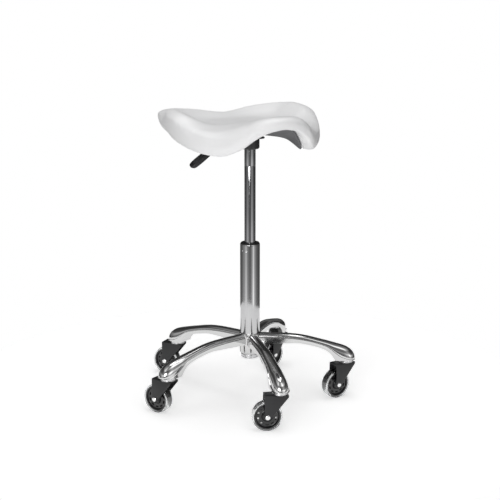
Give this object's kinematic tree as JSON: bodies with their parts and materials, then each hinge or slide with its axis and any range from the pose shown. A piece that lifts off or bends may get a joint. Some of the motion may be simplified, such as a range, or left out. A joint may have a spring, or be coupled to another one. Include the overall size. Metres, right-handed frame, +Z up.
{
  "type": "dentist stool",
  "caption": "Saddle seat on a chrome gas lift column with a height lever and a five-legged polished base on swivel casters.",
  "frame": {"origin": "middle of the footprint box, on the floor under the wheels", "axes": "+Z is up and the sitter faces -Y; the lift column stands at x 0.0228, y -0.0084"},
  "size_m": [0.5294, 0.5499, 0.7465],
  "materials": {
    "white_leather": "smooth white synthetic leather",
    "dark_shell": "dark grey moulded plastic",
    "black_plastic": "black satin plastic",
    "black_steel": "black powder coat",
    "fork_black": "satin black coat",
    "wheel_black": "glossy black plastic",
    "clear_tyre": "clear soft polyurethane",
    "chrome": "bright chrome plate",
    "dark_chrome": "dark chrome plate",
    "polished_aluminium": "polished cast aluminium",
    "zinc_steel": "zinc plated steel",
    "bright_steel": "bright plated steel",
    "black_rubber": "black rubber"
  },
  "bodies": {
    "base": {"star_base": "polished_aluminium", "column_tube": "chrome", "guide_bush": "black_plastic", "bearing_washer": "zinc_steel", "thrust_bearing": "bright_steel", "caster_stem_1": "zinc_steel", "caster_stem_2": "zinc_steel", "caster_stem_3": "zinc_steel", "caster_stem_4": "zinc_steel", "caster_stem_5": "zinc_steel", "caster_ring_1": "zinc_steel", "caster_ring_2": "zinc_steel", "caster_ring_3": "zinc_steel", "caster_ring_4": "zinc_steel", "caster_ring_5": "zinc_steel"},
    "lift_rod": {"piston_rod": "bright_steel", "piston": "zinc_steel", "bump_stop": "black_rubber", "rod_clip": "zinc_steel"},
    "seat": {"gas_cylinder": "dark_chrome", "cylinder_gland": "black_plastic", "seat_socket": "black_steel", "seat_plate": "black_steel", "seat_bolt_1": "bright_steel", "seat_bolt_2": "bright_steel", "seat_bolt_3": "bright_steel", "seat_bolt_4": "bright_steel", "seat_shell": "dark_shell", "seat_cushion": "white_leather", "lever_bracket": "black_steel", "lever_pin": "bright_steel"},
    "lever": {"height_lever": "zinc_steel", "lever_paddle": "black_plastic"},
    "button": {"release_button": "bright_steel"},
    "caster_1": {"caster_fork_1": "fork_black", "axle_bolt_1": "bright_steel", "axle_nut_1": "bright_steel"},
    "wheel_1": {"wheel_core_1": "wheel_black", "tyre_1": "clear_tyre"},
    "caster_2": {"caster_fork_2": "fork_black", "axle_bolt_2": "bright_steel", "axle_nut_2": "bright_steel"},
    "wheel_2": {"wheel_core_2": "wheel_black", "tyre_2": "clear_tyre"},
    "caster_3": {"caster_fork_3": "fork_black", "axle_bolt_3": "bright_steel", "axle_nut_3": "bright_steel"},
    "wheel_3": {"wheel_core_3": "wheel_black", "tyre_3": "clear_tyre"},
    "caster_4": {"caster_fork_4": "fork_black", "axle_bolt_4": "bright_steel", "axle_nut_4": "bright_steel"},
    "wheel_4": {"wheel_core_4": "wheel_black", "tyre_4": "clear_tyre"},
    "caster_5": {"caster_fork_5": "fork_black", "axle_bolt_5": "bright_steel", "axle_nut_5": "bright_steel"},
    "wheel_5": {"wheel_core_5": "wheel_black", "tyre_5": "clear_tyre"}
  },
  "joints": [
    {"name": "seat_swivel", "type": "hinge", "parent": "base", "child": "lift_rod", "pos_m": [0.0228, -0.0084, 0.12], "axis": [0, 0, 1], "continuous": true},
    {"name": "seat_height", "type": "slide", "parent": "lift_rod", "child": "seat", "axis": [0, 0, 1], "range_m": [-0.2, 0]},
    {"name": "lever_tilt", "type": "hinge", "parent": "seat", "child": "lever", "pos_m": [-0.0172, -0.0084, 0.6618], "axis": [0, 1, 0], "range_deg": [0, 4], "stiffness_Nm_per_rad": 2, "springref_deg": -2.86},
    {"name": "button_press", "type": "slide", "parent": "seat", "child": "button", "axis": [0, 0, -1], "range_m": [0, 0.0029]},
    {"name": "caster_swivel_1", "type": "hinge", "parent": "base", "child": "caster_1", "pos_m": [0.24106, -0.12445, 0.0903], "axis": [0, 0, 1], "continuous": true},
    {"name": "wheel_roll_1", "type": "hinge", "parent": "caster_1", "child": "wheel_1", "pos_m": [0.20923, -0.12769, 0.0375], "axis": [0.1011, -0.9949, 0], "continuous": true},
    {"name": "caster_swivel_2", "type": "hinge", "parent": "base", "child": "caster_2", "pos_m": [-0.02013, -0.25184, 0.0903], "axis": [0, 0, 1], "continuous": true},
    {"name": "wheel_roll_2", "type": "hinge", "parent": "caster_2", "child": "wheel_2", "pos_m": [-0.05023, -0.241, 0.0375], "axis": [-0.3387, -0.9409, 0], "continuous": true},
    {"name": "caster_swivel_3", "type": "hinge", "parent": "base", "child": "caster_3", "pos_m": [-0.22199, -0.0428, 0.0903], "axis": [0, 0, 1], "continuous": true},
    {"name": "wheel_roll_3", "type": "hinge", "parent": "caster_3", "child": "wheel_3", "pos_m": [-0.23692, -0.0145, 0.0375], "axis": [-0.8846, -0.4664, 0], "continuous": true},
    {"name": "caster_swivel_4", "type": "hinge", "parent": "base", "child": "caster_4", "pos_m": [-0.08557, 0.21378, 0.0903], "axis": [0, 0, 1], "continuous": true},
    {"name": "wheel_roll_4", "type": "hinge", "parent": "caster_4", "child": "wheel_4", "pos_m": [-0.105, 0.2392, 0.0375], "axis": [-0.7944, -0.6074, 0], "continuous": true},
    {"name": "caster_swivel_5", "type": "hinge", "parent": "base", "child": "caster_5", "pos_m": [0.20062, 0.16332, 0.0903], "axis": [0, 0, 1], "continuous": true},
    {"name": "wheel_roll_5", "type": "hinge", "parent": "caster_5", "child": "wheel_5", "pos_m": [0.17067, 0.15206, 0.0375], "axis": [0.3518, -0.9361, 0], "continuous": true}
  ],
  "couplings": [
    {"joint": "button_press", "follows": "lever_tilt", "m_per_rad": 0.04}
  ]
}
